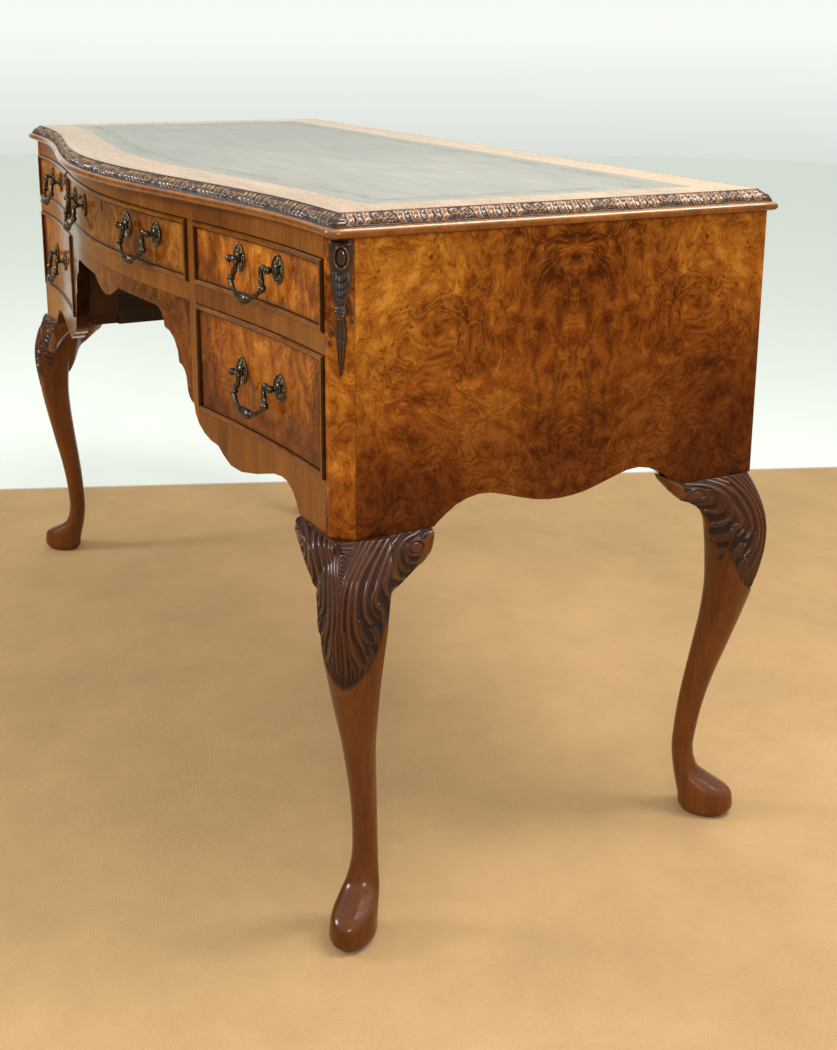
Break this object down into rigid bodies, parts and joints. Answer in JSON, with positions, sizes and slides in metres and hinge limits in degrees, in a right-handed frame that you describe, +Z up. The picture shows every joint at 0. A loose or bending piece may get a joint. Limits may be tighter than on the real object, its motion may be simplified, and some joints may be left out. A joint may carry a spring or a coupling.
{
  "type": "writing desk",
  "caption": "Serpentine-front kneehole writing desk in burr walnut on carved cabriole legs with pad feet, with a leather writing top, drawers in cock beads and swan-neck bail handles.",
  "frame": {"origin": "centre of the footprint box, on the floor", "axes": "+Z up; +X along the desk's length, to the sitter's right; the serpentine drawer front faces -Y"},
  "size_m": [1.381, 0.6428, 0.79],
  "materials": {
    "burr_walnut": "burr walnut veneer under a glossy French polish, orange-brown with dark curls",
    "crossbanded_walnut": "straight-grained walnut crossbanding and cock bead, polished",
    "carved_walnut": "dark stained carved walnut, worn shiny on the high places",
    "leg_walnut": "solid red-brown walnut, glossy polish, darker in the carving",
    "oak_lining": "plain oak drawer lining, waxed, matt",
    "green_leather": "grey-green writing leather with a tooled border line, satin",
    "aged_brass": "dark oxidised brass, brighter on the rubbed edges"
  },
  "bodies": {
    "carcase": {"back_panel": "burr_walnut", "centre_apron": "burr_walnut", "corner_post_left": "burr_walnut", "corner_post_right": "burr_walnut", "drawer_rail_centre": "crossbanded_walnut", "drawer_rail_left": "crossbanded_walnut", "drawer_rail_right": "crossbanded_walnut", "edge_moulding": "carved_walnut", "front_top_rail": "crossbanded_walnut", "kneehole_side_left": "leg_walnut", "kneehole_side_right": "leg_walnut", "leather_writing_surface": "green_leather", "leg_back_left": "leg_walnut", "leg_back_right": "leg_walnut", "leg_front_left": "leg_walnut", "leg_front_right": "leg_walnut", "pedestal_apron_left": "crossbanded_walnut", "pedestal_apron_right": "crossbanded_walnut", "pedestal_floor_left": "oak_lining", "pedestal_floor_right": "oak_lining", "side_panel_left": "burr_walnut", "side_panel_right": "burr_walnut", "stile_left": "crossbanded_walnut", "stile_right": "crossbanded_walnut", "top_board": "crossbanded_walnut"},
    "centre_drawer": {"centre_drawer_front": "burr_walnut", "centre_drawer_cock_bead": "crossbanded_walnut", "centre_drawer_box": "oak_lining", "centre_left_handle_mount_left": "aged_brass", "centre_left_handle_mount_right": "aged_brass", "centre_right_handle_mount_left": "aged_brass", "centre_right_handle_mount_right": "aged_brass", "drawer_lock": "aged_brass"},
    "upper_right_drawer": {"upper_right_drawer_front": "burr_walnut", "upper_right_drawer_cock_bead": "crossbanded_walnut", "upper_right_drawer_box": "oak_lining", "upper_right_handle_mount_left": "aged_brass", "upper_right_handle_mount_right": "aged_brass"},
    "lower_right_drawer": {"lower_right_drawer_front": "burr_walnut", "lower_right_drawer_cock_bead": "crossbanded_walnut", "lower_right_drawer_box": "oak_lining", "lower_right_handle_mount_left": "aged_brass", "lower_right_handle_mount_right": "aged_brass"},
    "upper_left_drawer": {"upper_left_drawer_front": "burr_walnut", "upper_left_drawer_cock_bead": "crossbanded_walnut", "upper_left_drawer_box": "oak_lining", "upper_left_handle_mount_left": "aged_brass", "upper_left_handle_mount_right": "aged_brass"},
    "lower_left_drawer": {"lower_left_drawer_front": "burr_walnut", "lower_left_drawer_cock_bead": "crossbanded_walnut", "lower_left_drawer_box": "oak_lining", "lower_left_handle_mount_left": "aged_brass", "lower_left_handle_mount_right": "aged_brass"},
    "centre_left_bail": {"centre_left_bail": "aged_brass"},
    "centre_right_bail": {"centre_right_bail": "aged_brass"},
    "upper_right_bail": {"upper_right_bail": "aged_brass"},
    "lower_right_bail": {"lower_right_bail": "aged_brass"},
    "upper_left_bail": {"upper_left_bail": "aged_brass"},
    "lower_left_bail": {"lower_left_bail": "aged_brass"},
    "lock_bolt": {"lock_bolt": "aged_brass"}
  },
  "joints": [
    {"name": "centre_drawer_slide", "type": "slide", "parent": "carcase", "child": "centre_drawer", "axis": [0, -1, 0], "range_m": [0, 0.3]},
    {"name": "upper_right_drawer_slide", "type": "slide", "parent": "carcase", "child": "upper_right_drawer", "axis": [0, -1, 0], "range_m": [0, 0.3]},
    {"name": "lower_right_drawer_slide", "type": "slide", "parent": "carcase", "child": "lower_right_drawer", "axis": [0, -1, 0], "range_m": [0, 0.3]},
    {"name": "upper_left_drawer_slide", "type": "slide", "parent": "carcase", "child": "upper_left_drawer", "axis": [0, -1, 0], "range_m": [0, 0.3]},
    {"name": "lower_left_drawer_slide", "type": "slide", "parent": "carcase", "child": "lower_left_drawer", "axis": [0, -1, 0], "range_m": [0, 0.3]},
    {"name": "centre_left_bail_swing", "type": "hinge", "parent": "centre_drawer", "child": "centre_left_bail", "pos_m": [-0.1563, -0.29768, 0.7147], "axis": [-0.9945, 0.1047, 0], "range_deg": [0, 85]},
    {"name": "centre_right_bail_swing", "type": "hinge", "parent": "centre_drawer", "child": "centre_right_bail", "pos_m": [0.1563, -0.29768, 0.7147], "axis": [-0.9945, -0.1047, 0], "range_deg": [0, 85]},
    {"name": "upper_right_bail_swing", "type": "hinge", "parent": "upper_right_drawer", "child": "upper_right_bail", "pos_m": [0.4623, -0.25869, 0.7147], "axis": [-0.9954, -0.0961, 0], "range_deg": [0, 85]},
    {"name": "lower_right_bail_swing", "type": "hinge", "parent": "lower_right_drawer", "child": "lower_right_bail", "pos_m": [0.4623, -0.25869, 0.5856], "axis": [-0.9954, -0.0961, 0], "range_deg": [0, 85]},
    {"name": "upper_left_bail_swing", "type": "hinge", "parent": "upper_left_drawer", "child": "upper_left_bail", "pos_m": [-0.4623, -0.25869, 0.7147], "axis": [-0.9954, 0.0961, 0], "range_deg": [0, 85]},
    {"name": "lower_left_bail_swing", "type": "hinge", "parent": "lower_left_drawer", "child": "lower_left_bail", "pos_m": [-0.4623, -0.25869, 0.5856], "axis": [-0.9954, 0.0961, 0], "range_deg": [0, 85]},
    {"name": "lock_bolt_throw", "type": "slide", "parent": "centre_drawer", "child": "lock_bolt", "axis": [0, 0, 1], "range_m": [0, 0.008]}
  ]
}
